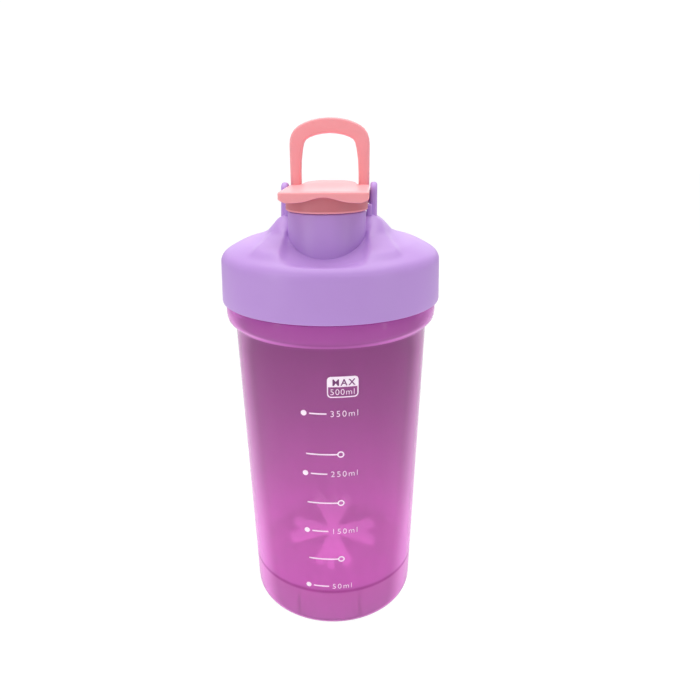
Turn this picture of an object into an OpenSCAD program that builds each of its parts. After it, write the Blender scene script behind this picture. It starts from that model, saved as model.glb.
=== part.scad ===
// Protein shaker bottle: a tapered translucent cup with a bowl floor and an open foot,
// a screw lid with an off-centre spout, a flip cap, a carry loop and a loose mixer.
// The origin is the centre of the foot on the table, +Z is up and the spout is towards -Y.

/* [Cup] */
// Outer radius of the wall at the table
base_r = 34.9; // [32:0.1:36]
// Outer radius of the wall at the lid's lower edge
top_r = 38.3; // [37.5:0.1:38.6]
// Wall thickness of the cup
cup_wall = 1.8; // [1.4:0.1:2.2]
// Radius of the rounded edge of the foot
foot_round = 5; // [4:0.5:6]
// Height where the bowl floor meets the wall
bowl_z = 18; // [17:0.5:20]
// Depth of the bowl floor below that height
bowl_depth = 14.2; // [12:0.1:15]
// Number of stiffening ribs under the bowl
rib_count = 8; // [4:1:16]
// Thickness of a rib
rib_t = 1.6; // [1.2:0.1:2]
// Outer radius of the collar under the lid
collar_r = 41.3; // [40.5:0.1:41.8]
// Height of the cup's rim
rim_z = 150; // [149:0.5:150]

/* [Screw thread] */
// Rise of the lid in one turn
pitch = 5; // [4.5:0.1:5.5]
// Outer radius of the cup's neck under the thread
neck_r = 38; // [37.8:0.1:38]
// Height of the thread above the neck
thread_h = 1.2; // [1:0.1:1.3]

/* [Lid] */
// Outer radius of the lid's skirt under the shoulder
lid_r = 42.1; // [42:0.1:43]
// How much wider the skirt is at its lower edge
lid_flare = 0.5; // [0:0.1:0.6]
// Height of the lid's lower edge
lid_z = 136; // [135.9:0.1:136.2]
// Radius of the rounded shoulder of the lid
shoulder_r = 5; // [4:0.5:5.5]
// Height of the flat between the ears
deck_z = 167.4; // [166.5:0.1:168]

/* [Spout] */
// Distance of the spout's axis in front of the bottle's axis
spout_y = 14; // [13:0.1:14.2]
// Outer radius of the spout
spout_r = 14.1; // [13.8:0.1:14.4]
// Inner radius of the spout
spout_bore_r = 11.2; // [10.8:0.1:11.2]
// Height of the spout's mouth
spout_z = 175.6; // [175:0.1:175.7]

/* [Ears and pivots] */
// Distance from the middle to the inner face of an ear
ear_in = 15.4; // [15.4:0.1:15.6]
// Thickness of an ear
ear_t = 2.6; // [2.5:0.1:3.5]
// Height of the flip cap's pivot
cap_pivot_z = 176; // [175.8:0.1:176.1]
// Distance of the carry loop's pivot behind the flip cap's
loop_pivot_y = 4.6; // [4.6:0.1:5]
// Height of the carry loop's pivot
loop_pivot_z = 173.5; // [173:0.1:173.5]
// Radius of the flip cap's pins
cap_pin_r = 1.2; // [1:0.05:1.3]
// Radius of the carry loop's pins
loop_pin_r = 1.4; // [1.2:0.05:1.5]
// Radial running clearance of both pairs of pins
pin_gap = 0.05; // [0.02:0.01:0.08]

/* [Flip cap] */
// Half width of the cap at its front lip
cap_half_w = 15.3; // [15:0.1:16]
// Distance of the front lip in front of the bottle's axis
cap_front = 30.3; // [30:0.1:31]
// Thickness of the cap's plate
cap_t = 2.4; // [2.2:0.1:2.4]
// Depth of the lip's two lobes
lip_h = 3.6; // [3:0.1:4]

/* [Carry loop] */
// Half width of the loop
loop_half_w = 15; // [14.8:0.1:15.1]
// Height of the top of the upright loop
loop_top_z = 202.1; // [198:0.1:205]
// Width of a leg at its foot
leg_w = 4.1; // [3.8:0.1:4.2]
// Thickness of the loop from front to back
loop_t = 3.8; // [3.4:0.1:3.8]

/* [Mixer] */
// Overall length of each double arm
mixer_l = 38; // [34:1:40]
// Width of the flukes at the ends of an arm
fluke_w = 17; // [16:1:22]
// Thickness of the mixer's arms
arm_t = 2.6; // [2:0.1:3]

/* [Printed scale] */
// Turn of the print from the spout's side towards +X, in degrees
print_turn = 4; // [0:1:10]
// Thickness of the ink
ink_t = 0.12; // [0.1:0.01:0.2]

/* [Hidden] */
$fn = 96;
eps = 0.01;

// Cup
function cup_r(z) = base_r + (top_r - base_r) * z / lid_z;
bowl_r = (pow(cup_r(bowl_z) - cup_wall, 2) + pow(bowl_depth, 2)) / (2 * bowl_depth);
bowl_centre_z = bowl_z - bowl_depth + bowl_r;
mouth_r = cup_r(lid_z) - cup_wall;
collar_top = lid_z - 0.4;
collar_low = collar_top - 9;
recess_top = bowl_z - 1.8;

// Screw thread: the lid's ridge runs under the cup's ridge
thread_z = 140;
lid_bore_r = neck_r + thread_h + 0.4;
thread_base_h = 2.2;
thread_crest_h = 1.1;
thread_step = 10;

// Sealing ring, clamped between the cup's rim and the lid
ring_in = 35.9;
ring_out = 39.4;
ring_t = 2;
ring_z = rim_z + 0.15;
lip_r = ring_in - 0.2;
lip_t = 1.1;

// Lid
scoop_r = 30;
scoop_low_y = -28;
scoop_low_z = 156.4;
scoop_slope = 14.5;
lid_wall = 2.2;
ear_out = ear_in + ear_t;
cap_boss_r = 3.4;
loop_boss_r = 3.6;

// Flip cap
cap_skirt_in = 13.5;
cap_skirt_out = 14.7;
cap_skirt_low = 171.1;
spout_neck_r = 13.2;
spout_neck_z = 170.8;
cap_top_z = cap_pivot_z + cap_t;
lug_in = 9.6;
cap_side = ear_in - 0.4;
tongue_half_w = 10.2;
tongue_back = 5;

// Plug
plug_r = spout_bore_r - 0.4;
plug_h = 3.4;
plug_wall = 1.4;

// Carry loop
loop_arch_r = 24;
window_top_z = loop_top_z - 5.5;
leg_in = loop_half_w - leg_w;
loop_foot_r = 2.3;

// Mixer, standing on the bowl floor on the corners of its lower fluke
mixer_z = bowl_z - bowl_depth + pow(fluke_w / 2, 2) / (2 * bowl_r) + mixer_l / 2 + 0.3;

// Heights of the filled-dot marks and of the hollow-dot marks
dot_marks = [21.8, 49.3, 75.7, 101.2];
ring_marks = [35.7, 62.6, 84.2];
badge_z = 111.8;

// A solid standing on the YZ plane and extruded along X, from -half_w to half_w
module across(half_w) {
    rotate([90, 0, 90]) translate([0, 0, -half_w]) linear_extrude(2 * half_w) children();
}

// A cylinder along X from x0 to x1, at y and z, and its mirror image
module pair_along_x(x0, x1, y, z, r) {
    for (side = [-1, 1])
        translate([side > 0 ? x0 : -x1, y, z]) rotate([0, 90, 0]) cylinder(h = x1 - x0, r = r);
}

// A helical ridge of trapezium section; its ends run out into the wall
module ridge(r_wall, r_crest, z0, turn0, turn1) {
    steps = round((turn1 - turn0) / thread_step);
    function fade(i) = min(1, i / 3, (steps - i) / 3);
    rows = [for (i = [0 : steps])
        let (a = turn0 + (turn1 - turn0) * i / steps, z = z0 + pitch * a / 360, f = max(0.08, fade(i)),
             rc = r_wall + (r_crest - r_wall) * f)
        [[r_wall * cos(a), r_wall * sin(a), z - thread_base_h / 2 * f],
         [rc * cos(a), rc * sin(a), z - thread_crest_h / 2 * f],
         [rc * cos(a), rc * sin(a), z + thread_crest_h / 2 * f],
         [r_wall * cos(a), r_wall * sin(a), z + thread_base_h / 2 * f]]];
    points = [for (row = rows) each row];
    sides = [for (i = [0 : steps - 1], k = [0 : 3])
        [i * 4 + k, i * 4 + (k + 1) % 4, i * 4 + 4 + (k + 1) % 4, i * 4 + 4 + k]];
    ends = [[3, 2, 1, 0], [steps * 4, steps * 4 + 1, steps * 4 + 2, steps * 4 + 3]];
    faces = concat(sides, ends);
    inward = r_crest < r_wall;
    polyhedron(points, inward ? faces : [for (f = faces) [for (k = [3 : -1 : 0]) f[k]]]);
}

module cup_outline() {
    translate([cup_r(foot_round) - foot_round, foot_round]) circle(foot_round);
    polygon([[0, 0], [cup_r(foot_round) - foot_round, 0], [cup_r(foot_round), foot_round],
             [cup_r(collar_low), collar_low], [collar_r - 1.2, collar_low + 1.8],
             [collar_r, collar_low + 3.4], [collar_r, collar_top - 0.6], [collar_r - 0.6, collar_top],
             [neck_r, collar_top], [neck_r, rim_z - 0.5], [neck_r - 0.5, rim_z], [0, rim_z]]);
}

module cup_inside() {
    polygon([[0, bowl_z], [cup_r(bowl_z) - cup_wall, bowl_z], [mouth_r, lid_z],
             [mouth_r, rim_z + 1], [0, rim_z + 1]]);
    intersection() {
        translate([0, bowl_centre_z]) circle(bowl_r);
        translate([0, bowl_z - bowl_depth - 1]) square([cup_r(bowl_z), bowl_depth + 1 + eps]);
    }
}

module cup_recess() {
    difference() {
        polygon([[0, -1], [cup_r(0) - foot_round - 0.8, -1], [cup_r(0) - foot_round - 0.8, 0.6],
                 [cup_r(0) - foot_round + 1.4, cup_wall], [cup_r(foot_round) - cup_wall, foot_round],
                 [cup_r(recess_top) - cup_wall, recess_top], [0, recess_top]]);
        translate([0, bowl_centre_z]) circle(bowl_r + cup_wall);
    }
}

module cup() {
    color([0.72, 0.36, 0.66, 0.6]) difference() {
        rotate_extrude() intersection() { cup_outline(); square([collar_r + 1, rim_z]); }
        rotate_extrude() intersection() { cup_inside(); square([collar_r + 1, rim_z + 1]); }
        difference() {
            rotate_extrude() intersection() {
                cup_recess();
                translate([0, -1]) square([collar_r, recess_top + 1]);
            }
            for (i = [0 : rib_count - 1])
                rotate([0, 0, 360 / rib_count * i + 180 / rib_count])
                    translate([18, -rib_t / 2, 3]) cube([16, rib_t, recess_top]);
        }
    }
}

module cup_thread() {
    color([0.72, 0.36, 0.66, 0.6]) ridge(neck_r, neck_r + thread_h, thread_z, 0, 450);
}

// The thin conical skin that the print lies in, on the outside of the wall
module ink_skin(z0, z1) {
    rotate_extrude() polygon([[cup_r(z0) + eps, z0], [cup_r(z0) + ink_t, z0],
                              [cup_r(z1) + ink_t, z1], [cup_r(z1) + eps, z1]]);
}

// Extrudes a drawing in x and z forwards through the cup's wall
module through_front() {
    rotate([0, 0, print_turn]) rotate([90, 0, 0]) linear_extrude(base_r + 10) children();
}

module volume_marks() {
    color("white") intersection() {
        ink_skin(15, 110);
        through_front() {
            for (z = dot_marks) {
                translate([-10.5, z]) circle(1.1);
                translate([-8.4, z - 0.25]) square([6.4, 0.5]);
            }
            for (z = ring_marks) {
                translate([-10, z - 0.25]) square([11.9, 0.5]);
                translate([3.1, z]) difference() { circle(1.35); circle(0.85); }
            }
        }
    }
}

module capacity_badge() {
    color("white") intersection() {
        ink_skin(100, 124);
        through_front() translate([4, badge_z]) difference() {
            square([11.2, 8], center = true);
            translate([0, 1.7]) square([9.8, 3.6], center = true);
        }
    }
}

module sealing_ring() {
    color("whitesmoke") rotate_extrude()
        translate([ring_in, ring_z]) square([ring_out - ring_in, ring_t]);
}

module lid_outline() {
    shoulder_z = 155.2 - shoulder_r;
    translate([lid_r - shoulder_r, shoulder_z]) circle(shoulder_r);
    low_r = lid_r + lid_flare;
    polygon([[0, lid_z], [low_r - 0.5, lid_z], [low_r, lid_z + 0.5], [lid_r, shoulder_z],
             [lid_r - 1.4, shoulder_z + 3.2], [38.4, 155.4], [36.5, 157], [33.5, 158.6], [29.5, 160.2],
             [25.5, 161.9], [23, 163.7], [20.8, 165.6], [ear_out, deck_z], [0, deck_z]]);
}

module lid_inside() {
    polygon([[0, lid_z - 1], [lid_bore_r, lid_z - 1], [lid_bore_r, ring_z + ring_t + 0.05],
             [lip_r, ring_z + ring_t + 0.05], [lip_r, rim_z - 3], [lip_r - lip_t, rim_z - 3],
             [lip_r - lip_t, rim_z + 3.2], [32.5, 155.6], [29, 157.4], [25, 159], [22, 160.8],
             [19.5, 162.8], [17, 164.6], [0, deck_z - lid_wall]]);
}

// The hollow in front of the spout: a cylinder that slopes down towards the front edge
module scoop(r) {
    translate([0, scoop_low_y, scoop_low_z + scoop_r]) rotate([90 + scoop_slope, 0, 0])
        cylinder(h = 90, r = r, center = true);
}

module ear_side() {
    translate([0, cap_pivot_z]) circle(cap_boss_r);
    translate([loop_pivot_y, loop_pivot_z]) circle(loop_boss_r);
    polygon([[-cap_boss_r, cap_pivot_z], [-8.5, 160], [15, 160],
             [loop_pivot_y + 2.9, loop_pivot_z + 2.2], [2.2, cap_pivot_z + 2.6]]);
}

module lid() {
    color([0.7, 0.57, 0.82]) difference() {
        union() {
            difference() {
                rotate_extrude() intersection() {
                    lid_outline();
                    translate([0, lid_z]) square([lid_r + lid_flare, 40]);
                }
                intersection() {
                    scoop(scoop_r);
                    translate([-lid_r, -lid_r - 1, rim_z]) cube([2 * lid_r, lid_r - 8, 40]);
                }
            }
            translate([0, -spout_y, rim_z]) cylinder(h = spout_neck_z - rim_z, r = spout_r);
            translate([0, -spout_y, rim_z]) cylinder(h = spout_z - rim_z, r = spout_neck_r);
            difference() {
                across(ear_out) ear_side();
                translate([-ear_in, -30, deck_z]) cube([2 * ear_in, 60, 30]);
            }
        }
        difference() {
            rotate_extrude() lid_inside();
            intersection() {
                scoop(scoop_r + lid_wall);
                translate([-30, -lip_r + lip_t, rim_z + 1]) cube([60, lip_r - lip_t - 6, 30]);
            }
        }
        translate([0, -spout_y, rim_z + 2]) cylinder(h = 30, r = spout_bore_r);
        pair_along_x(ear_in - 1, ear_out + 1, 0, cap_pivot_z, cap_pin_r);
        pair_along_x(ear_in - 1, ear_out + 1, loop_pivot_y, loop_pivot_z, loop_pin_r);
    }
}

module lid_thread() {
    color([0.7, 0.57, 0.82]) ridge(lid_bore_r, lid_bore_r - thread_h, thread_z - pitch / 2, 60, 400);
}

module cap_pins() {
    color("silver") pair_along_x(lug_in + 0.3, ear_out, 0, cap_pivot_z, cap_pin_r);
}

module loop_pins() {
    color("silver") pair_along_x(leg_in + 0.3, ear_out, loop_pivot_y, loop_pivot_z, loop_pin_r);
}

module flip_cap() {
    color([0.94, 0.62, 0.66]) difference() {
        union() {
            translate([0, 0, cap_pivot_z]) linear_extrude(cap_t)
                polygon([[-cap_half_w, -cap_front], [cap_half_w, -cap_front], [cap_side, -10],
                         [cap_side, 0], [tongue_half_w, 0], [tongue_half_w, tongue_back],
                         [-tongue_half_w, tongue_back], [-tongue_half_w, 0], [-cap_side, 0],
                         [-cap_side, -10]]);
            difference() {
                translate([-cap_half_w, -cap_front, cap_top_z - lip_h])
                    cube([2 * cap_half_w, 1.4, lip_h - eps]);
                translate([0, 0, cap_top_z - lip_h + 1.4 - 32]) rotate([90, 0, 0])
                    cylinder(h = 60, r = 32);
            }
            difference() {
                translate([0, -spout_y, cap_skirt_low])
                    cylinder(h = cap_pivot_z - cap_skirt_low + 0.5, r = cap_skirt_out);
                translate([0, -spout_y, cap_skirt_low - 1])
                    cylinder(h = cap_pivot_z - cap_skirt_low + 1, r = cap_skirt_in);
                translate([-30, -spout_y + 0.5, cap_skirt_low - 1]) cube([60, 30, 10]);
            }
            pair_along_x(lug_in, cap_side, 0, cap_pivot_z, cap_t);
        }
        pair_along_x(lug_in - 1, cap_side + 1, 0, cap_pivot_z, cap_pin_r + pin_gap);
    }
}

module spout_plug() {
    color("whitesmoke") translate([0, -spout_y, cap_pivot_z]) mirror([0, 0, 1]) difference() {
        cylinder(h = plug_h, r = plug_r);
        translate([0, 0, 1.2]) cylinder(h = plug_h, r = plug_r - plug_wall);
    }
}

module loop_outline() {
    intersection() {
        translate([-loop_half_w, loop_pivot_z]) square([2 * loop_half_w, 40]);
        translate([0, loop_top_z - loop_arch_r]) circle(loop_arch_r);
        translate([0, loop_top_z - 19.4]) circle(19.4);
    }
    translate([-loop_half_w, loop_pivot_z]) square([2 * loop_half_w, 20]);
}

module loop_window() {
    polygon([[-leg_in, loop_pivot_z - 10], [leg_in, loop_pivot_z - 10], [leg_in, window_top_z - 9],
             [9.6, window_top_z - 3.4], [8.7, window_top_z - 1.9], [6.4, window_top_z - 0.8],
             [3.2, window_top_z - 0.2], [0, window_top_z], [-3.2, window_top_z - 0.2],
             [-6.4, window_top_z - 0.8], [-8.7, window_top_z - 1.9], [-9.6, window_top_z - 3.4],
             [-leg_in, window_top_z - 9]]);
}

module carry_loop() {
    color([0.95, 0.6, 0.62]) difference() {
        union() {
            translate([0, loop_pivot_y + loop_t / 2, 0]) rotate([90, 0, 0]) linear_extrude(loop_t)
                difference() { loop_outline(); loop_window(); }
            pair_along_x(leg_in, loop_half_w, loop_pivot_y, loop_pivot_z, loop_foot_r);
        }
        pair_along_x(leg_in - 1, loop_half_w + 1, loop_pivot_y, loop_pivot_z, loop_pin_r + pin_gap);
    }
}

// Half of a double arm, drawn upwards: a web that widens to two rounded lobes with a hollow between
module arm_half() {
    lobe_r = 3;
    difference() {
        union() {
            polygon([[-2.6, 0], [2.6, 0], [fluke_w / 2 - lobe_r + 2, mixer_l / 2 - lobe_r - 2.2],
                     [fluke_w / 2 - lobe_r, mixer_l / 2], [-fluke_w / 2 + lobe_r, mixer_l / 2],
                     [-fluke_w / 2 + lobe_r - 2, mixer_l / 2 - lobe_r - 2.2]]);
            for (side = [-1, 1])
                translate([side * (fluke_w / 2 - lobe_r), mixer_l / 2 - lobe_r]) circle(lobe_r);
        }
        translate([0, mixer_l / 2 + 2.6]) circle(6);
    }
}

module double_arm() {
    translate([0, arm_t / 2, 0]) rotate([90, 0, 0]) linear_extrude(arm_t) {
        arm_half();
        mirror([0, 1]) arm_half();
    }
}

module mixer() {
    color([0.85, 0.6, 0.8, 0.7]) translate([0, 0, mixer_z]) {
        double_arm();
        rotate([90, 0, 90]) double_arm();
        rotate([0, 90, 90]) rotate([0, 0, 90]) rotate([0, 0, 90]) double_arm();
        sphere(3.6);
    }
}

cup();
cup_thread();
volume_marks();
capacity_badge();
sealing_ring();
lid();
lid_thread();
cap_pins();
loop_pins();
flip_cap();
spout_plug();
carry_loop();
mixer();
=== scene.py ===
import math

import bpy
from mathutils import Euler, Matrix, Vector


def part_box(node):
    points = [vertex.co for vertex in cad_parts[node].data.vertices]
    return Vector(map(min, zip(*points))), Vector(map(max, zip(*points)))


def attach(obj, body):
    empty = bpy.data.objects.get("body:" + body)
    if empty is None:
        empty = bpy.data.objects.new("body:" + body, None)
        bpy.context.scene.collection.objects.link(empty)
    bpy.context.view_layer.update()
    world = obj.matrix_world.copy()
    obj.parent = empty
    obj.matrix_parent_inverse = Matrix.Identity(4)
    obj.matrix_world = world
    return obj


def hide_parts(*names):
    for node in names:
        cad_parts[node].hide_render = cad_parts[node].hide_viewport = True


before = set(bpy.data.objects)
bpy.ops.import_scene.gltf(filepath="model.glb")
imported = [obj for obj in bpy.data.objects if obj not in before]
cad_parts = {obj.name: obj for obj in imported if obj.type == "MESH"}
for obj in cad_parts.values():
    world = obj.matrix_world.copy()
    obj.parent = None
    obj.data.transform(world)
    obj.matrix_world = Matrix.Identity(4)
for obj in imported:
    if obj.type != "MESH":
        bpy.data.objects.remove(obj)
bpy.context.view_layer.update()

# ---- Studio -------------------------------------------------------------------------------------
# A seamless white sweep under a large overhead softbox, with a weaker softbox behind that lifts the
# lid's shoulder and two narrow strips at the sides, as for a catalogue.
# The camera stands close to the bottle and a little above it, so the cup narrows strongly downwards.
MM = 0.001
camera_distance = 237.6
camera_height = 196.9
camera_turn = math.radians(4)
camera_pitch = 0.362
camera_roll = -0.012
focal_length = 31.31
frame_offset = (0.0266, 0.0182)
air_glow = 0.46
paper_white = 1.05
paper_share = 0.94


def linear(code):
    """A colour written as an sRGB hex value, turned to linear light with an alpha of 1."""
    parts = [int(code[i:i + 2], 16) / 255 for i in (0, 2, 4)]
    return tuple(c / 12.92 if c <= 0.04045 else ((c + 0.055) / 1.055) ** 2.4 for c in parts) + (1.0,)


def add_node(tree, kind, inputs=None, **settings):
    """Adds a node; an input given as another node's output is linked, any other is set."""
    made = tree.nodes.new(kind)
    for key, value in settings.items():
        setattr(made, key, value)
    for key, value in (inputs or {}).items():
        if isinstance(value, bpy.types.NodeSocket):
            tree.links.new(value, made.inputs[key])
        else:
            made.inputs[key].default_value = value
    return made


def finish_of(name, **inputs):
    """A new material with one Principled shader; returns the material, its tree and the shader."""
    material = bpy.data.materials.new(name)
    material.use_nodes = True
    tree = material.node_tree
    tree.nodes.clear()
    shader = add_node(tree, "ShaderNodeBsdfPrincipled")
    add_node(tree, "ShaderNodeOutputMaterial", {"Surface": shader.outputs["BSDF"]})
    for key, value in inputs.items():
        shader.inputs[key.replace("_", " ")].default_value = value
    return material, tree, shader


def refinish(node_name, material):
    """Gives a CAD node that stays as it is one of this file's materials."""
    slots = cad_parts[node_name].data.materials
    slots.clear()
    slots.append(material)


def start_clean():
    """Deselects everything, since an operator acts on all that is selected."""
    bpy.ops.object.select_all(action="DESELECT")


camera = bpy.data.objects.new("camera", bpy.data.cameras.new("camera"))
bpy.context.scene.collection.objects.link(camera)
camera.data.lens = focal_length
camera.data.shift_x, camera.data.shift_y = frame_offset
camera.data.clip_start = 0.01
camera.location = (camera_distance * math.sin(camera_turn) * MM,
                   -camera_distance * math.cos(camera_turn) * MM, camera_height * MM)
aim = Euler((math.pi / 2 - camera_pitch, 0, camera_turn)).to_matrix()
camera.rotation_euler = (aim @ Matrix.Rotation(camera_roll, 3, "Z")).to_euler()
bpy.context.scene.camera = camera

bpy.context.scene.view_settings.view_transform = "Standard"
world = bpy.data.worlds.new("studio_air")
bpy.context.scene.world = world
world.use_nodes = True
air = world.node_tree
air.nodes.clear()
seen = add_node(air, "ShaderNodeBackground", {"Color": (1, 1, 1, 1), "Strength": paper_white})
glow = add_node(air, "ShaderNodeBackground", {"Color": linear("F7F5FA"), "Strength": air_glow})
by_ray = add_node(air, "ShaderNodeMixShader", {
    0: add_node(air, "ShaderNodeLightPath").outputs["Is Camera Ray"],
    1: glow.outputs[0], 2: seen.outputs[0]})
add_node(air, "ShaderNodeOutputWorld", {"Surface": by_ray.outputs[0]})


def softbox(name, place, size, power, aim=(0, 0, 0.1)):
    """A rectangular lamp, in metres and watts, that faces a point on the bottle."""
    lamp = bpy.data.objects.new(name, bpy.data.lights.new(name, "AREA"))
    bpy.context.scene.collection.objects.link(lamp)
    lamp.data.shape = "RECTANGLE"
    lamp.data.size, lamp.data.size_y = size
    lamp.data.energy = power
    lamp.location = place
    away = lamp.location - Vector(aim)
    lamp.rotation_euler = away.to_track_quat("Z", "Y").to_euler()


softbox("softbox_overhead", (0.0, 0.10, 0.75), (0.8, 0.8), 5.1)
softbox("softbox_behind", (0.0, 0.95, 0.42), (1.1, 0.4), 1.5, aim=(0, 0, 0.17))
softbox("strip_left", (-0.45, -0.35, 0.30), (0.05, 0.5), 0.7)
softbox("strip_right", (0.50, -0.30, 0.25), (0.04, 0.5), 0.4)

start_clean()
bpy.ops.mesh.primitive_plane_add(size=6, location=(0, 0, 0))
floor = bpy.context.object
floor.name = "floor"
# Matt background paper; what the camera sees of it is lifted to a seamless white.
paper, tree, shader = finish_of("white_paper_sweep", Base_Color=linear("FBFBFC"), Roughness=0.9)
bright = add_node(tree, "ShaderNodeEmission", {"Color": (1, 1, 1, 1), "Strength": paper_white})
lit = add_node(tree, "ShaderNodeMixShader", {
    0: add_node(tree, "ShaderNodeMath", {
        0: add_node(tree, "ShaderNodeLightPath").outputs["Is Camera Ray"], 1: paper_share},
        operation="MULTIPLY").outputs[0],
    1: shader.outputs[0], 2: bright.outputs[0]})
tree.links.new(lit.outputs[0], tree.nodes["Material Output"].inputs["Surface"])
floor.data.materials.append(paper)

# ---- Cup ----------------------------------------------------------------------------------------
# A tapered cup with a round bowl floor inside an open foot, moulded in one in violet polypropylene.
# The thick collar under the lid and the rounded foot catch the light, where the colour is strongest.
base_r, top_r = 34.9, 38.3
lid_low = 136.0
wall_t = 1.8
foot_round = 5.0
rim_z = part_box("cup")[1].z / MM
collar_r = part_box("cup")[1].x / MM
bowl_z, bowl_depth = 18.0, 14.2
neck_r = 38.0
collar_top = lid_low - 0.4
rib_count, rib_half_t = 8, 0.8
rib_low, rib_top, rib_in = 3.2, 15.2, 18


def wall_r(z):
    """Outer radius of the cup's wall at a height."""
    return base_r + (top_r - base_r) * z / lid_low


def arc(centre, radius, start, end, count):
    """Points along an arc, in degrees from the outward direction towards up."""
    turns = [math.radians(start + (end - start) * i / count) for i in range(count + 1)]
    return [(centre[0] + radius * math.cos(t), centre[1] + radius * math.sin(t)) for t in turns]


def face_outwards(piece):
    """Turns the faces of a closed shell outwards, in object mode before and after."""
    bpy.context.view_layer.objects.active = piece
    bpy.ops.object.mode_set(mode="EDIT")
    bpy.ops.mesh.select_all(action="SELECT")
    bpy.ops.mesh.normals_make_consistent(inside=False)
    bpy.ops.object.mode_set(mode="OBJECT")


def turned(name, rings, steps=144, centre=(0, 0)):
    """A shell of revolution: one circle, extruded and resized from ring to ring, then closed."""
    start_clean()
    x, y = centre[0] * MM, centre[1] * MM
    r, z = rings[0]
    bpy.ops.mesh.primitive_circle_add(vertices=steps, radius=r * MM, location=(x, y, z * MM))
    piece = bpy.context.object
    piece.name = piece.data.name = name
    bpy.ops.object.transform_apply(location=True, rotation=False, scale=False)
    bpy.ops.object.mode_set(mode="EDIT")
    for next_r, next_z in rings[1:]:
        bpy.ops.mesh.extrude_region_move(TRANSFORM_OT_translate={"value": (0, 0, (next_z - z) * MM)})
        bpy.ops.transform.resize(value=(next_r / r, next_r / r, 1), center_override=(x, y, 0))
        r, z = next_r, next_z
    bpy.ops.mesh.select_all(action="SELECT")
    bpy.ops.mesh.remove_doubles(threshold=1e-6)
    bpy.ops.mesh.select_all(action="DESELECT")
    bpy.ops.mesh.select_non_manifold()
    bpy.ops.mesh.fill_holes(sides=0)
    bpy.ops.object.mode_set(mode="OBJECT")
    face_outwards(piece)
    return piece


def apply_modifier(piece, kind, **settings):
    """Adds one modifier to the piece and applies it at once."""
    bpy.context.view_layer.objects.active = piece
    modifier = piece.modifiers.new(kind.lower(), kind)
    for key, value in settings.items():
        setattr(modifier, key, value)
    bpy.ops.object.modifier_apply(modifier=modifier.name)


def combine(piece, operation, *others):
    """Adds other pieces to this one, or cuts them out of it, and removes them."""
    for other in others:
        apply_modifier(piece, "BOOLEAN", operation=operation, solver="EXACT", object=other)
        bpy.data.objects.remove(other)
    return piece


def sealed(piece):
    """Closes the hairline gaps that a boolean can leave between faces in one plane."""
    bpy.context.view_layer.objects.active = piece
    bpy.ops.object.mode_set(mode="EDIT")
    bpy.ops.mesh.select_all(action="SELECT")
    bpy.ops.mesh.remove_doubles(threshold=3e-6)
    bpy.ops.mesh.select_all(action="DESELECT")
    bpy.ops.mesh.select_non_manifold()
    bpy.ops.mesh.fill_holes(sides=0)
    bpy.ops.object.mode_set(mode="OBJECT")


def rounded(piece, width, segments=3):
    """Rounds the piece's sharp edges, as a mould does."""
    apply_modifier(piece, "BEVEL", width=width * MM, segments=segments, limit_method="ANGLE",
                   angle_limit=math.radians(60))


def smooth(piece, angle=35):
    """Seals a finished piece and shades it smooth, except across edges sharper than the angle."""
    sealed(piece)
    start_clean()
    piece.select_set(True)
    bpy.context.view_layer.objects.active = piece
    bpy.ops.object.shade_smooth_by_angle(angle=math.radians(angle))


def settle(piece):
    """Puts the piece's place, turn and size into its mesh, so its object sits at the origin."""
    start_clean()
    piece.select_set(True)
    bpy.context.view_layer.objects.active = piece
    bpy.ops.object.transform_apply(location=True, rotation=True, scale=True)
    return piece


def block(name, low, high):
    """A box between two corners, in millimetres."""
    start_clean()
    middle = [(a + b) / 2 * MM for a, b in zip(low, high)]
    bpy.ops.mesh.primitive_cube_add(size=1, location=middle)
    piece = bpy.context.object
    piece.name = name
    piece.scale = [(b - a) * MM for a, b in zip(low, high)]
    return settle(piece)


inner_base = wall_r(bowl_z) - wall_t
bowl_r = (inner_base ** 2 + bowl_depth ** 2) / (2 * bowl_depth)
bowl_mid = bowl_z - bowl_depth + bowl_r
mouth_r = wall_r(lid_low) - wall_t
bowl_edge = math.degrees(math.asin(inner_base / bowl_r))
foot_edge = wall_r(foot_round) - foot_round

# The wall's section, from the bowl's underside out to the foot, up the outside, over the rim and
# down the inside to the bowl.
bowl_under = arc((0, bowl_mid), bowl_r + wall_t, -89.6, -90 + bowl_edge - 3.2, 20)
bowl_inside = arc((0, bowl_mid), bowl_r, -90 + bowl_edge - 1.2, -89.6, 24)
foot_outside = arc((foot_edge, foot_round), foot_round, -90, 0, 10)
cup_rings = (
    bowl_under
    + [(wall_r(16) - wall_t - 0.6, 16.4), (wall_r(15) - wall_t, 15.4), (wall_r(5) - wall_t, 5.6)]
    + arc((foot_edge + 0.2, 5.0), foot_round - wall_t - 0.2, -10, -80, 5)
    + [(foot_edge - 0.3, 1.3), (foot_edge - 0.6, 0.7), (foot_edge - 0.2, 0.1)]
    + foot_outside
    + [(wall_r(z), z) for z in (8, 20, 40, 60, 80, 100, 120, 125.6)]
    + [(wall_r(126.6) + 0.15, 126.4), (39.1, 127.2), (40.2, 128.2), (40.9, 129.2), (41.2, 130.4)]
    + [(collar_r, 131.6), (collar_r, 134.9), (collar_r - 0.2, 135.4), (collar_r - 0.7, collar_top)]
    + [(neck_r + 0.3, collar_top), (neck_r, collar_top + 0.3), (neck_r, rim_z - 0.6)]
    + [(neck_r - 0.2, rim_z - 0.15), (neck_r - 0.6, rim_z), (mouth_r + 0.6, rim_z)]
    + [(mouth_r + 0.15, rim_z - 0.2), (mouth_r, rim_z - 0.6), (mouth_r, lid_low)]
    + [(wall_r(z) - wall_t, z) for z in (120, 100, 80, 60, 40, 24, 20)]
    + [(inner_base - 0.1, bowl_z + 0.4)]
    + bowl_inside
)
cup = turned("cup_shell", cup_rings, steps=160)
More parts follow.
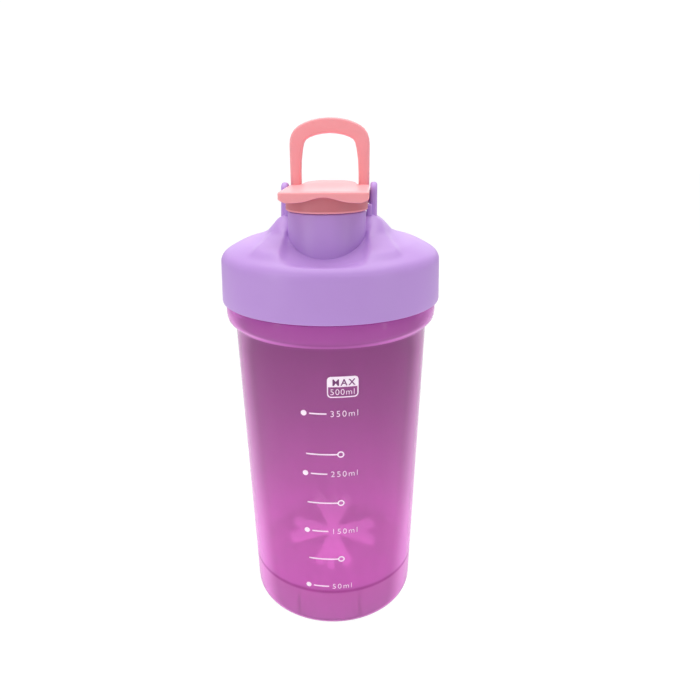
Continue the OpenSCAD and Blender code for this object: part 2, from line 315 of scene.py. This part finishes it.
for rib in range(rib_count):
    web = block("rib", (rib_in, -rib_half_t, rib_low), (wall_r(8) - wall_t / 2, rib_half_t, rib_top))
    turn = 2 * math.pi * (rib + 0.5) / rib_count
    bpy.ops.transform.rotate(value=-turn, orient_axis="Z", center_override=(0, 0, 0))
    settle(web)
    if rib == 0:
        ribs = web
    else:
        ribs.select_set(True)
        bpy.context.view_layer.objects.active = ribs
        bpy.ops.object.join()
under_bowl = turned("under_bowl", [(0.2, 2.9)] + bowl_under[1:] + [(33, 20), (0.2, 20)], steps=96)
combine(ribs, "DIFFERENCE", under_bowl)
combine(cup, "UNION", ribs)
smooth(cup)

# Polypropylene tinted violet, with a fine moulded satin: clear enough to show the mixer inside, and
# milky. Its colour is set by height, partly for the thickness of plastic behind it and partly as
# painted light and shade: lightest in the foot and the collar, a painted dark line where the bowl
# meets the wall, and painted shade, a duller violet, up the empty wall under the lid. A steep look
# along the wall meets more of the milk and less of the clear.
coloured_to = 130
clear_share, steep_share = 0.62, 0.12
polypropylene, tree, shader = finish_of(
    "translucent_violet_polypropylene", Roughness=0.13, IOR=1.22, Specular_IOR_Level=0.3)
place = add_node(tree, "ShaderNodeTexCoord").outputs["Object"]
up = add_node(tree, "ShaderNodeSeparateXYZ", {0: place}).outputs["Z"]
level = add_node(tree, "ShaderNodeMapRange", {"Value": up, "From Max": coloured_to * MM})
# Painted light and shade by height: a lighter foot and collar, a dark line at the bowl's edge and shade up
# the wall under the lid.
depth = add_node(tree, "ShaderNodeValToRGB", {0: level.outputs[0]})
for stop, code in ((0.0, "FFA8F4"), (0.136, "FFA0F0"), (0.143, "DC70CC"), (0.147, "DC70CC"),
                   (0.154, "FF98F2"), (0.3, "FA98EC"), (0.55, "DC8ED0"), (0.966, "BE74B2"),
                   (0.982, "E084D8")):
    mark = depth.color_ramp.elements.new(stop)
    mark.color = linear(code)
for default in (depth.color_ramp.elements[-1], depth.color_ramp.elements[0]):
    depth.color_ramp.elements.remove(default)
tree.links.new(depth.outputs[0], shader.inputs["Base Color"])
clear = add_node(tree, "ShaderNodeMapRange", {
    "Value": add_node(tree, "ShaderNodeLayerWeight", {"Blend": 0.5}).outputs["Facing"],
    "From Min": 0.5, "From Max": 0.75, "To Min": clear_share, "To Max": steep_share},
    interpolation_type="SMOOTHSTEP")
tree.links.new(clear.outputs[0], shader.inputs["Transmission Weight"])
satin = add_node(tree, "ShaderNodeTexNoise", {"Vector": place, "Scale": 1400, "Detail": 3})
cloud = add_node(tree, "ShaderNodeTexNoise", {"Vector": place, "Scale": 28, "Detail": 2})
height = add_node(tree, "ShaderNodeMath", {0: satin.outputs[0], 1: cloud.outputs[0]}, operation="ADD")
bump = add_node(tree, "ShaderNodeBump", {"Height": height.outputs[0], "Strength": 0.12,
                                         "Distance": 0.0002})
tree.links.new(bump.outputs[0], shader.inputs["Normal"])
cup.data.materials.append(polypropylene)
refinish("cup_thread", polypropylene)
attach(cup, "cup")
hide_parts("cup")

# ---- Printed scale ------------------------------------------------------------------------------
# One white screen print on the front of the cup: filled dots with short lines and a number,
# hollow dots with long lines, and a small capacity badge in two bands above them.
ink_t = 0.12
print_turn = math.radians(4)
# Heights above the table; the marks are unevenly spaced on the real cup too.
number_marks = {"50ml": 21.8, "150ml": 49.3, "250ml": 75.7, "350ml": 101.2}
hollow_marks = (35.7, 62.6, 84.2)
badge_mid = (4.0, 111.8)

# Matt white screen ink with a fine speckle. A faint pink glow is painted light, for the cup's pink
# light that shows through the thin ink.
ink, tree, shader = finish_of("white_screen_ink", Base_Color=linear("FFF3FD"), Roughness=0.55)
shader.inputs["Emission Color"].default_value = linear("F6D3F2")
shader.inputs["Emission Strength"].default_value = 0.12
speckle = add_node(tree, "ShaderNodeTexNoise", {
    "Vector": add_node(tree, "ShaderNodeTexCoord").outputs["Object"], "Scale": 900, "Detail": 2})
tree.links.new(add_node(tree, "ShaderNodeBump", {"Height": speckle.outputs[0], "Strength": 0.2,
                                                 "Distance": 0.00005}).outputs[0],
               shader.inputs["Normal"])


def flat_disc(x, z, radius, hole=0.0, steps=32):
    """A disc or a ring of ink, drawn flat with its height along Y."""
    start_clean()
    bpy.ops.mesh.primitive_circle_add(vertices=steps, radius=radius * MM, location=(x * MM, z * MM, 0),
                                      fill_type="NGON")
    piece = bpy.context.object
    bpy.ops.object.transform_apply(location=True)
    if hole:
        bpy.ops.object.mode_set(mode="EDIT")
        bpy.ops.mesh.inset(thickness=(radius - hole) * MM)
        bpy.ops.mesh.delete(type="FACE")
        bpy.ops.object.mode_set(mode="OBJECT")
    return piece


def flat_bar(x0, x1, z0, z1, cuts=12):
    """A bar of ink, cut along its length so that it can bend round the wall."""
    start_clean()
    bpy.ops.mesh.primitive_grid_add(x_subdivisions=cuts, y_subdivisions=1, size=1,
                                    location=((x0 + x1) / 2 * MM, (z0 + z1) / 2 * MM, 0))
    piece = bpy.context.object
    piece.scale = ((x1 - x0) * MM, (z1 - z0) * MM, 1)
    return settle(piece)


def flat_words(words, x, z, size, spacing=1.28, weight=-0.035):
    """Numbers in the plain built-in face, as a flat mesh that starts at x and stands on z.

    The weight thickens the strokes, or thins them where it is negative, in millimetres.
    """
    start_clean()
    bpy.ops.object.text_add(location=(x * MM, z * MM, 0))
    piece = bpy.context.object
    piece.data.body = words
    piece.data.size = size * MM
    piece.data.space_character = spacing
    piece.data.offset = weight * MM
    bpy.ops.object.convert(target="MESH")
    return settle(bpy.context.object)


def printed(name, parts, colour, lift=0.02):
    """Joins flat drawings, lays them round the cup's wall and gives the ink its thickness."""
    start_clean()
    for part in parts:
        part.select_set(True)
    bpy.context.view_layer.objects.active = parts[0]
    bpy.ops.object.join()
    piece = bpy.context.object
    piece.name = piece.data.name = name
    for v in piece.data.vertices:
        z = v.co.y
        r = (wall_r(z / MM) + lift) * MM
        turn = v.co.x / r + print_turn
        v.co = (r * math.sin(turn), -r * math.cos(turn), z)
    bpy.ops.object.mode_set(mode="EDIT")
    bpy.ops.mesh.select_all(action="SELECT")
    bpy.ops.mesh.remove_doubles(threshold=1e-6)
    bpy.ops.object.mode_set(mode="OBJECT")
    for face in piece.data.polygons:
        outward = Vector((face.center.x, face.center.y, 0))
        if face.normal.dot(outward) < 0:
            face.flip()
    apply_modifier(piece, "SOLIDIFY", thickness=ink_t * MM, offset=1)
    piece.data.materials.append(colour)
    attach(piece, "cup")
    return piece


half_line = 0.25
scale_parts = []
for words, z in number_marks.items():
    scale_parts += [flat_disc(-10.5, z, 1.1), flat_bar(-8.4, -2.0, z - half_line, z + half_line),
                    flat_words(words, -0.8, z - 1.2, 3.5)]
for z in hollow_marks:
    scale_parts += [flat_bar(-10, 1.8, z - half_line, z + half_line), flat_disc(3.1, z, 1.35, hole=0.85)]
scale = printed("volume_scale", scale_parts, ink)
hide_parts("volume_marks")


def flat_frame(x, z, width, height, radius, line):
    """The outline of a rounded rectangle, drawn as a line of even width."""
    start_clean()
    w, h = width / 2 - radius, height / 2 - radius
    runs = []
    for (cx, cz), start in (((w, h), 0), ((-w, h), 90), ((-w, -h), 180), ((w, -h), 270)):
        runs.append(arc((cx, cz), radius, start, start + 90, 6))
    outline = []
    for run, following in zip(runs, runs[1:] + runs[:1]):
        (x0, z0), (x1, z1) = run[-1], following[0]
        outline += run + [(x0 + (x1 - x0) * i / 8, z0 + (z1 - z0) * i / 8) for i in range(1, 8)]
    bpy.ops.mesh.primitive_circle_add(vertices=len(outline), radius=MM, fill_type="NGON")
    piece = bpy.context.object
    for v, (px, pz) in zip(piece.data.vertices, outline):
        v.co = ((x + px) * MM, (z + pz) * MM, 0)
    bpy.ops.object.mode_set(mode="EDIT")
    bpy.ops.mesh.inset(thickness=line * MM)
    bpy.ops.mesh.delete(type="FACE")
    bpy.ops.object.mode_set(mode="OBJECT")
    return piece


badge_x, badge_z = badge_mid
badge_w, badge_h = 11.4, 8.2
badge_corner, badge_line = 1.5, 0.4
band_inset = 0.35
badge_parts = [flat_frame(badge_x, badge_z, badge_w, badge_h, badge_corner, badge_line),
               flat_bar(badge_x - badge_w / 2 + band_inset, badge_x + badge_w / 2 - band_inset,
                        badge_z + 0.1, badge_z + badge_h / 2 - band_inset),
               flat_words("500ml", badge_x - 4.7, badge_z - 3.0, 3.3, spacing=1.15)]
badge = printed("capacity_badge_print", badge_parts, ink)
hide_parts("capacity_badge")

# The word in the badge's light band is left open in the screen, so the violet behind it shows. It is
# drawn as a thin print of that violet on top of the band.
cup_shade, tree, shader = finish_of("violet_seen_through_screen", Base_Color=linear("7A3474"),
                                    Roughness=0.45)
mottle = add_node(tree, "ShaderNodeTexNoise", {
    "Vector": add_node(tree, "ShaderNodeTexCoord").outputs["Object"], "Scale": 700, "Detail": 2})
tree.links.new(add_node(tree, "ShaderNodeBump", {"Height": mottle.outputs[0], "Strength": 0.2,
                                                 "Distance": 0.00005}).outputs[0],
               shader.inputs["Normal"])
printed("capacity_badge_word", [flat_words("MAX", badge_x - 3.9, badge_z + 0.65, 3.5, spacing=1.25,
                                           weight=0.06)],
        cup_shade, lift=0.05)

# ---- Sealing ring -------------------------------------------------------------------------------
# A flat ring of milky white silicone that the lid squeezes on to the cup's rim. The soft plug under
# the flip cap is moulded in the same silicone: a dull skin with a faint cloudiness in tone and gloss.
silicone, tree, shader = finish_of("soft_white_silicone", Subsurface_Weight=0.3, Subsurface_Scale=0.002)
place = add_node(tree, "ShaderNodeTexCoord").outputs["Object"]
cloud = add_node(tree, "ShaderNodeTexNoise", {"Vector": place, "Scale": 90, "Detail": 2})
milk = add_node(tree, "ShaderNodeMix", {
    "Factor": cloud.outputs[0], 6: linear("F2F0F0"), 7: linear("E8E4E7")}, data_type="RGBA")
tree.links.new(milk.outputs[2], shader.inputs["Base Color"])
dull = add_node(tree, "ShaderNodeMapRange", {"Value": cloud.outputs[0], "To Min": 0.42, "To Max": 0.58})
tree.links.new(dull.outputs[0], shader.inputs["Roughness"])
for node_name in ("sealing_ring", "spout_plug"):
    refinish(node_name, silicone)

# ---- Lid ----------------------------------------------------------------------------------------
# A screw lid moulded in one in opaque lilac polypropylene: skirt, rounded shoulder, a dome that
# sweeps up to the deck, an off-centre spout with a scoop in front of it, and two hinge ears.
lid_low_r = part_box("lid")[1].x / MM
lid_r = lid_low_r - 0.5
deck_z = 167.4
shoulder = 5.0
shoulder_z = 155.2 - shoulder
lid_bore = 39.6
ring_top = rim_z + 2.2
plug_out, plug_in = 35.7, 34.6
ear_in, ear_out = 15.4, 18.0
spout_y = -14.0
spout_r, spout_neck_r, spout_bore = 14.1, 13.2, 11.2
spout_z = 175.6
cap_pivot = (0.0, 176.0)
loop_pivot = (4.6, 173.5)
cap_boss_r, loop_boss_r = 3.4, 3.6
scoop_y, scoop_z, scoop_rise, scoop_r = -28.0, 156.4, 0.25, 30.0
scoop_blend = 1.6
cheek_rise, apron_fall = 1.0, 0.5
cap_pin_r, loop_pin_r = 1.2, 1.4
pin_play = 0.05
web_in, web_out = 14.1, 16.2
web_front, web_back, web_low, web_top = -7.5, -3.6, 162, 171.9
spacer_r, spacer_proud = 3.3, 0.35


def ease(value, start, end):
    """A smooth step from 0 to 1 between start and end."""
    t = max(0.0, min(1.0, (value - start) / (end - start)))
    return t * t * (3 - 2 * t)


def lid_moves(x, y):
    """How far the dome's surface is moved up or down at a place, in millimetres."""
    r = math.hypot(x, y)
    dome = dome_height(r)

    # The scoop in front of the spout: the dome falls smoothly to a sloping trough.
    hollow = scoop_z + scoop_rise * (y - scoop_y) + x * x / (2 * scoop_r)
    lower = -scoop_blend * math.log(math.exp(-dome / scoop_blend) + math.exp(-hollow / scoop_blend))
    front = max(0.0, min(1.0, (-6 - y) / 8))
    edge = max(0.0, min(1.0, (39.5 - r) / 5))
    fall = (min(lower, dome) - dome) * front * min(1, edge * 2)

    # The two cheeks that lead from the ears forwards past the spout, wider towards the front.
    along = max(0.0, min(1.0, (-2 - y) / 26))
    outer = 19.5 + 7 * along
    beside = 14 * ease(y, -16, -10)
    cheek = ease(abs(x), 13.8 - beside, 15.4 - beside) * (1 - ease(abs(x), outer - 1.4, outer + 2))
    cheek *= ease(-y, 0, 7) * (1 - ease(r, 34.5, 38.5))

    # The sunk apron between them, from the spout's foot to the shoulder.
    apron = (1 - ease(abs(x), 12.6, 14.2)) * ease(-y, 20, 27) * (1 - ease(r, 34, 36.5))
    return fall + cheek_rise * cheek - apron_fall * apron


dome_points = [(0.3, deck_z), (ear_out - 0.6, deck_z), (19.8, 166.0), (21.2, 164.7), (22.5, 163.3),
               (24.2, 161.4), (28.4, 159.7), (33.2, 158.4), (36.2, 157.0), (38.6, 155.7),
               (40.3, 154.7), (lid_r - 0.6, 153.5)]


def dome_height(r):
    """Height of the dome of revolution at a radius, on straight runs between its design points."""
    for (r0, z0), (r1, z1) in zip(dome_points, dome_points[1:]):
        if r <= r1:
            return z0 + (z1 - z0) * max(0, r - r0) / (r1 - r0)
    return dome_points[-1][1]


def softened(points, step, rounds):
    """Even steps along a run of points, with its corners eased."""
    path = []
    for (r0, z0), (r1, z1) in zip(points, points[1:]):
        count = max(1, round(math.hypot(r1 - r0, z1 - z0) / step))
        path += [(r0 + (r1 - r0) * i / count, z0 + (z1 - z0) * i / count) for i in range(count)]
    path.append(points[-1])
    for _ in range(rounds):
        path = [path[0]] + [((a[0] + 2 * b[0] + c[0]) / 4, (a[1] + 2 * b[1] + c[1]) / 4)
                            for a, b, c in zip(path, path[1:], path[2:])] + [path[-1]]
    return path


dome_outside = softened(dome_points + [(lid_r - 0.1, shoulder_z + 1.8)], 0.7, 2)
dome_inside = [(r, z - 2.2) for r, z in dome_outside if r < plug_in - 1.2]
lid_rings = (
    dome_outside
    + [(lid_r, shoulder_z), (lid_r + 0.15, 146), (lid_r + 0.32, 141), (lid_low_r, lid_low + 0.6)]
    + [(lid_low_r - 0.1, lid_low + 0.2), (lid_low_r - 0.4, lid_low), (lid_bore + 0.5, lid_low)]
    + [(lid_bore, lid_low + 0.5)]
    + [(lid_bore, 144), (lid_bore, ring_top), (plug_out, ring_top), (plug_out, rim_z - 2.8)]
    + [(plug_out - 0.2, rim_z - 3), (plug_in + 0.2, rim_z - 3), (plug_in, rim_z - 2.8)]
    + [(plug_in, rim_z + 3)]
    + dome_inside[::-1]
)
lid = turned("lid_shell", lid_rings, steps=240)
dome_from = (rim_z + 3.1) * MM
for v in lid.data.vertices:
    if v.co.z > dome_from:
        v.co.z += lid_moves(v.co.x / MM, v.co.y / MM) * MM


def plate(name, outline, depth):
    """A plate cut to an outline of (across, up) points; it stands on XZ and is depth thick in Y."""
    start_clean()
    bpy.ops.mesh.primitive_circle_add(vertices=len(outline), radius=MM, fill_type="NGON")
    piece = bpy.context.object
    piece.name = piece.data.name = name
    for v, (across, up) in zip(piece.data.vertices, outline):
        v.co = (across * MM, 0, up * MM)
    bpy.ops.object.mode_set(mode="EDIT")
    bpy.ops.mesh.select_all(action="SELECT")
    bpy.ops.mesh.extrude_region_move(TRANSFORM_OT_translate={"value": (0, depth * MM, 0)})
    bpy.ops.object.mode_set(mode="OBJECT")
    face_outwards(piece)
    return piece


def ear_outline():
    """Side view of an ear as (towards the back, up): two bosses on a foot that spreads."""
    y0, z0 = cap_pivot
    y1, z1 = loop_pivot
    return ([(-8.6, 160), (-7.0, 164.5), (-5.4, 168.5), (-4.2, 172), (y0 - cap_boss_r, z0)]
            + arc((y0, z0), cap_boss_r, 165, 60, 8)
            + arc((y1, z1), loop_boss_r, 42, 0, 4)
            + [(8.6, 171), (9.6, 168), (11.6, 164.5), (14.5, 160)])


def across_x(piece, x0, x1):
    """Turns a plate that was drawn as (back, up) so that it spans x0 to x1."""
    for v in piece.data.vertices:
        v.co = (x0 * MM + v.co.y / MM * (x1 - x0) * MM, v.co.x, v.co.z)
    piece.data.update()
    face_outwards(piece)
    return piece


def rod(name, y, z, radius, x0, x1, steps=40):
    """A cylinder along X at y and z."""
    start_clean()
    bpy.ops.mesh.primitive_cylinder_add(vertices=steps, radius=radius * MM, depth=(x1 - x0) * MM,
                                        location=((x0 + x1) / 2 * MM, y * MM, z * MM),
                                        rotation=(0, math.pi / 2, 0))
    piece = bpy.context.object
    piece.name = name
    return settle(piece)


def on_side(side, near, far):
    """The stretch of X from near to far from the middle, on the right (1) or the left (-1)."""
    return (near, far) if side > 0 else (-far, -near)


ears = []
for side in (-1, 1):
    ear = across_x(plate("ear", ear_outline(), 1), side * ear_in, side * ear_out)
    rounded(ear, 0.9, 4)
    ears.append(ear)
spout = turned("spout", [(0.3, 154.2), (spout_r, 154.2), (spout_r, 170.2), (spout_r - 0.3, 170.7),
                         (spout_neck_r, 170.9), (spout_neck_r, 175.1), (spout_neck_r - 0.5, spout_z),
                         (0.3, spout_z)], steps=96, centre=(0, spout_y))
bore = turned("bore", [(0.3, 150), (spout_bore, 150), (spout_bore, 175.1),
                       (spout_bore + 0.6, spout_z + 0.1), (0.3, spout_z + 0.1)],
              steps=96, centre=(0, spout_y))
# A thin boss inside each ear holds the loop off it, and a web stiffens each ear towards the front.
spacers, webs = [], []
for side in (-1, 1):
    spacers.append(rod("spacer", *loop_pivot, spacer_r, *on_side(side, ear_in - spacer_proud, ear_in + 1)))
    x0, x1 = on_side(side, web_in, web_out)
    webs.append(block("web", (x0, web_front, web_low), (x1, web_back, web_top)))
for web in webs:
    rounded(web, 0.6)
combine(lid, "UNION", spout, *ears, *spacers, *webs)
combine(lid, "DIFFERENCE", bore,
        *[rod("pin_hole", *pivot, radius, -ear_out - 1, ear_out + 1)
          for pivot, radius in ((loop_pivot, loop_pin_r), (cap_pivot, cap_pin_r))])
smooth(lid, 32)

# Opaque lilac polypropylene with the soft sheen of a fine-blasted mould.
lilac, tree, shader = finish_of("satin_lilac_polypropylene", Base_Color=linear("C096DD"), Roughness=0.36,
                                IOR=1.49, Subsurface_Weight=0.12, Subsurface_Scale=0.003)
shader.inputs["Subsurface Radius"].default_value = (1.0, 0.7, 1.0)
place = add_node(tree, "ShaderNodeTexCoord").outputs["Object"]
grain = add_node(tree, "ShaderNodeTexNoise", {"Vector": place, "Scale": 1800, "Detail": 2})
flow = add_node(tree, "ShaderNodeTexNoise", {"Vector": place, "Scale": 45, "Detail": 2})
rough = add_node(tree, "ShaderNodeMapRange", {"Value": flow.outputs[0], "To Min": 0.36, "To Max": 0.48})
tree.links.new(rough.outputs[0], shader.inputs["Roughness"])
tree.links.new(add_node(tree, "ShaderNodeBump", {"Height": grain.outputs[0], "Strength": 0.08,
                                                 "Distance": 0.0001}).outputs[0],
               shader.inputs["Normal"])
lid.data.materials.append(lilac)
refinish("lid_thread", lilac)
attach(lid, "lid")
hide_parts("lid")

# ---- Hinge pins ---------------------------------------------------------------------------------
# Four short stainless pins, pressed into the ears: two carry the flip cap and two the carry loop.
# They are centreless-ground, which leaves fine rings round each pin and a bright, slightly uneven
# sheen.
steel, tree, shader = finish_of("ground_stainless_steel", Base_Color=linear("C9C9CC"), Metallic=1.0)
place = add_node(tree, "ShaderNodeTexCoord").outputs["Object"]
rings = add_node(tree, "ShaderNodeMapping", {"Vector": place, "Scale": (6000, 120, 120)})
marks = add_node(tree, "ShaderNodeTexNoise", {"Vector": rings.outputs[0], "Scale": 1.0, "Detail": 3})
sheen = add_node(tree, "ShaderNodeMapRange", {"Value": marks.outputs[0], "To Min": 0.22, "To Max": 0.42})
tree.links.new(sheen.outputs[0], shader.inputs["Roughness"])
tree.links.new(add_node(tree, "ShaderNodeBump", {"Height": marks.outputs[0], "Strength": 0.15,
                                                 "Distance": 0.00002}).outputs[0],
               shader.inputs["Normal"])
for node_name in ("cap_pins", "loop_pins"):
    refinish(node_name, steel)

# ---- Carry loop ---------------------------------------------------------------------------------
# A stiff salmon loop with an arched top, moulded in one, that turns on two pins between the ears.
loop_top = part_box("carry_loop")[1].z / MM
loop_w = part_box("carry_loop")[1].x / MM
loop_t = 3.8
leg_in = 10.9
loop_y = loop_pivot[0]


def mirrored(points):
    """Points drawn on the right from bottom to top, followed by their mirror image going down."""
    return points + [(-x, z) for x, z in reversed(points) if abs(x) > 1e-6]


outside = mirrored([(loop_w - 0.1, loop_pivot[1] - 0.5), (loop_w, 180), (loop_w, 187), (loop_w, 192.6)]
                   + [(14.8, 194.6), (14.2, 196.4), (13.1, 198.0), (11.5, 199.3), (9.3, 200.4),
                      (6.6, 201.3), (3.4, 201.9), (0, loop_top)])
window = mirrored([(leg_in + 0.1, loop_pivot[1] - 4), (leg_in, 182), (10.7, 187), (10.1, 191.2),
                   (9.6, 193.2), (8.9, 194.3), (7.6, 195.1), (5.4, 195.9), (2.7, 196.4), (0, 196.6)])
loop = plate("carry_loop_body", outside, loop_t)
hole = plate("loop_window", window, loop_t + 2)
for v in hole.data.vertices:
    v.co.y -= MM
combine(loop, "DIFFERENCE", hole)
for v in loop.data.vertices:
    v.co.y += (loop_y - loop_t / 2) * MM
feet = [rod("foot", *loop_pivot, 2.3, *on_side(side, leg_in, loop_w)) for side in (-1, 1)]
rounded(loop, 0.9, 4)
combine(loop, "UNION", *feet)
combine(loop, "DIFFERENCE",
        rod("pin_hole", *loop_pivot, loop_pin_r + pin_play, -loop_w - 1, loop_w + 1))
smooth(loop, 40)

# Opaque salmon polypropylene with the soft sheen of a fine-blasted mould, for the loop and the cap.
# Only the skirt, recessed under the cap's plate round the spout's neck, gets painted shade, a deeper
# tone for the shade of the plate above it: the steps bound it in front and behind, below and above.
salmon, tree, shader = finish_of("satin_salmon_polypropylene", Roughness=0.34,
                                 IOR=1.49, Subsurface_Weight=0.2, Subsurface_Scale=0.003)
shader.inputs["Subsurface Radius"].default_value = (1.0, 0.5, 0.5)
place = add_node(tree, "ShaderNodeTexCoord").outputs["Object"]
axes = add_node(tree, "ShaderNodeSeparateXYZ", {0: place})
skirt_shade_mask = None
for axis, start, end in (("Y", -0.0297, -0.0291), ("Y", -0.012, -0.013), ("Z", 0.1714, 0.1719),
                         ("Z", 0.1770, 0.1764)):
    step = add_node(tree, "ShaderNodeMapRange", {
        "Value": axes.outputs[axis], "From Min": start, "From Max": end})
    skirt_shade_mask = step if skirt_shade_mask is None else add_node(tree, "ShaderNodeMath", {
        0: skirt_shade_mask.outputs[0], 1: step.outputs[0]}, operation="MULTIPLY")
# Painted shade: the base colour is darkened on the skirt, where the cap's plate shades it.
skirt_painted_shade = add_node(tree, "ShaderNodeMix", {
    "Factor": skirt_shade_mask.outputs[0], 6: linear("FFA8AC"), 7: linear("D27A82")}, data_type="RGBA")
tree.links.new(skirt_painted_shade.outputs[2], shader.inputs["Base Color"])
grain = add_node(tree, "ShaderNodeTexNoise", {"Vector": place, "Scale": 1800, "Detail": 2})
flow = add_node(tree, "ShaderNodeTexNoise", {"Vector": place, "Scale": 60, "Detail": 2})
rough = add_node(tree, "ShaderNodeMapRange", {"Value": flow.outputs[0], "To Min": 0.34, "To Max": 0.46})
tree.links.new(rough.outputs[0], shader.inputs["Roughness"])
tree.links.new(add_node(tree, "ShaderNodeBump", {"Height": grain.outputs[0], "Strength": 0.08,
                                                 "Distance": 0.0001}).outputs[0],
               shader.inputs["Normal"])
loop.data.materials.append(salmon)
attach(loop, "carry_loop")
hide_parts("carry_loop")

# ---- Flip cap -----------------------------------------------------------------------------------
# A crowned salmon cap over the spout: a front lip with a wavy thumb edge, a recessed skirt that
# closes round the spout's neck, and two lugs on the hinge pins.
cap_front, cap_half_w = 30.3, 15.3
cap_side = ear_in - 0.4
cap_t = 2.4
cap_low, cap_top = cap_pivot[1], cap_pivot[1] + cap_t
tongue_w, tongue_back = 10.2, 5.0
skirt_low, skirt_out, skirt_in = 171.1, 14.7, 13.5
lip_t, lip_h, thumb_rise, corner_rise = 2.3, 3.6, 1.9, 1.3
crown_all, crown_rear, crown_half_w = 0.15, 1.25, 11
lug_in = 9.6


def laid_flat(piece, z):
    """Lays a plate that stands on XZ down on XY, with its outline's height along Y."""
    for v in piece.data.vertices:
        v.co = (v.co.x, v.co.z, z * MM + v.co.y)
    piece.data.update()
    face_outwards(piece)
    return piece


cap_plan = mirrored([(0, 1.3 - cap_front), (10, 1.3 - cap_front), (14.0, 1.3 - cap_front),
                     (cap_half_w, 1.8 - cap_front), (cap_half_w - 0.1, -24), (cap_side + 0.2, -12),
                     (cap_side, -9), (cap_side, -0.3), (cap_side - 0.3, 0.3), (tongue_w + 0.2, 0.3),
                     (tongue_w, 0.6), (tongue_w, tongue_back - 1.6), (tongue_w - 0.5, tongue_back - 0.5),
                     (tongue_w - 1.6, tongue_back), (4, tongue_back), (0, tongue_back)])
cap = laid_flat(plate("flip_cap_body", cap_plan, cap_t), cap_low)
rounded(cap, 0.7)

# The plate is cut into a fine grid, so that its top can be crowned: most at the rear, between the
# lugs, and hardly at all at the front and the sides.
bpy.ops.object.mode_set(mode="EDIT")
for step in range(-9, 10):
    for place, normal in (((step * 1.6, 0, 0), (1, 0, 0)), ((0, step * 1.9 - 12.6, 0), (0, 1, 0))):
        bpy.ops.mesh.select_all(action="SELECT")
        bpy.ops.mesh.bisect(plane_co=[c * MM for c in place], plane_no=normal)
bpy.ops.object.mode_set(mode="OBJECT")
for v in cap.data.vertices:
    x, y, z = v.co / MM
    crown = crown_all * (1 - (x / cap_half_w) ** 2)
    crown += crown_rear * (1 - min(1, abs(x) / crown_half_w) ** 4) * ease(y, -20, -3)
    v.co.z += crown * MM * max(0, min(1, (z - cap_low) / cap_t))

lip_low = cap_top - lip_h
lip_half_w = cap_half_w - 0.1
wave = []
for i in range(41):
    x = -lip_half_w + i * 2 * lip_half_w / 40
    thumb = thumb_rise * math.exp(-(x / 5.6) ** 2)
    corner = corner_rise * max(0, (abs(x) - 12) / 3.3) ** 2
    wave.append((x, lip_low + thumb + corner))
lip = plate("lip", wave + [(lip_half_w, cap_top - 0.04), (-lip_half_w, cap_top - 0.04)], lip_t)
for v in lip.data.vertices:
    v.co.y -= cap_front * MM
rounded(lip, 0.5)

skirt_rings = [(skirt_in, skirt_low + 0.2), (skirt_in + 0.2, skirt_low), (skirt_out - 0.3, skirt_low),
               (skirt_out, skirt_low + 0.3), (skirt_out, cap_low + 0.6), (skirt_in, cap_low + 0.6),
               (skirt_in, skirt_low + 0.2)]
skirt = turned("skirt", skirt_rings, steps=96, centre=(0, spout_y))
combine(skirt, "DIFFERENCE", block("rear", (-20, spout_y + 0.5, 165), (20, 20, 180)))
lugs = [rod("lug", *cap_pivot, cap_t - 0.06, *on_side(side, lug_in, cap_side - 0.03)) for side in (-1, 1)]
combine(cap, "UNION", lip, skirt, *lugs)
combine(cap, "DIFFERENCE", *[rod("pin_hole", *cap_pivot, cap_pin_r + pin_play, *on_side(side, 9, 16))
                             for side in (1, -1)])
smooth(cap, 35)
cap.data.materials.append(salmon)
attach(cap, "flip_cap")
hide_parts("flip_cap")

# ---- Mixer --------------------------------------------------------------------------------------
# A loose star of three crossed double arms with wide, notched flukes, in pale polypropylene. It lies
# on the bowl's floor and tumbles through the drink when the bottle is shaken.
mixer_low, mixer_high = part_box("mixer")
mixer_mid = (mixer_low.z + mixer_high.z) / 2 / MM
mixer_l = (mixer_high.z - mixer_low.z) / MM
fluke_w, fluke_round = 17.0, 3
notch_r, notch_up = 6, 2.6
arm_t = 2.6


def arm_outline():
    """Right half of a double arm from the lower end to the upper: a waist between two flukes, each
    with a round notch in its end."""
    half = [(2.0, 0), (2.1, 3), (4.3, 8), (fluke_w / 2 - 1.6, mixer_l / 2 - 5.5)]
    half += arc((fluke_w / 2 - fluke_round, mixer_l / 2 - fluke_round), fluke_round, -15, 110, 6)
    half += arc((0, mixer_l / 2 + notch_up), notch_r, -50, -90, 5)
    lower = [(x, -z) for x, z in reversed(half)]
    return lower[:-1] + half


arms = []
for turn_axes in ((0, 1, 2), (1, 2, 0), (2, 0, 1)):
    arm = plate("arm", mirrored(arm_outline()), arm_t)
    for v in arm.data.vertices:
        spot = (v.co.x, v.co.y - arm_t / 2 * MM, v.co.z)
        v.co = [spot[k] for k in turn_axes]
    arm.data.update()
    face_outwards(arm)
    arms.append(arm)
mixer = arms[0]
combine(mixer, "UNION", *arms[1:])
rounded(mixer, 0.5, 2)
for v in mixer.data.vertices:
    v.co.z += mixer_mid * MM
mixer.name = mixer.data.name = "mixer_star"
smooth(mixer, 40)
# Pale natural polypropylene with a waxy grain; a faint glow is painted light, for the light that
# reaches it through the cup's wall.
pale, tree, shader = finish_of("pale_pink_polypropylene", Base_Color=linear("F8D6EE"),
                               Emission_Color=linear("F6C9EA"), Emission_Strength=0.5)
place = add_node(tree, "ShaderNodeTexCoord").outputs["Object"]
wax = add_node(tree, "ShaderNodeTexNoise", {"Vector": place, "Scale": 160, "Detail": 3})
dull = add_node(tree, "ShaderNodeMapRange", {"Value": wax.outputs[0], "To Min": 0.3, "To Max": 0.45})
tree.links.new(dull.outputs[0], shader.inputs["Roughness"])
tree.links.new(add_node(tree, "ShaderNodeBump", {"Height": wax.outputs[0], "Strength": 0.1,
                                                 "Distance": 0.0001}).outputs[0],
               shader.inputs["Normal"])
mixer.data.materials.append(pale)
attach(mixer, "mixer")
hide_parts("mixer")
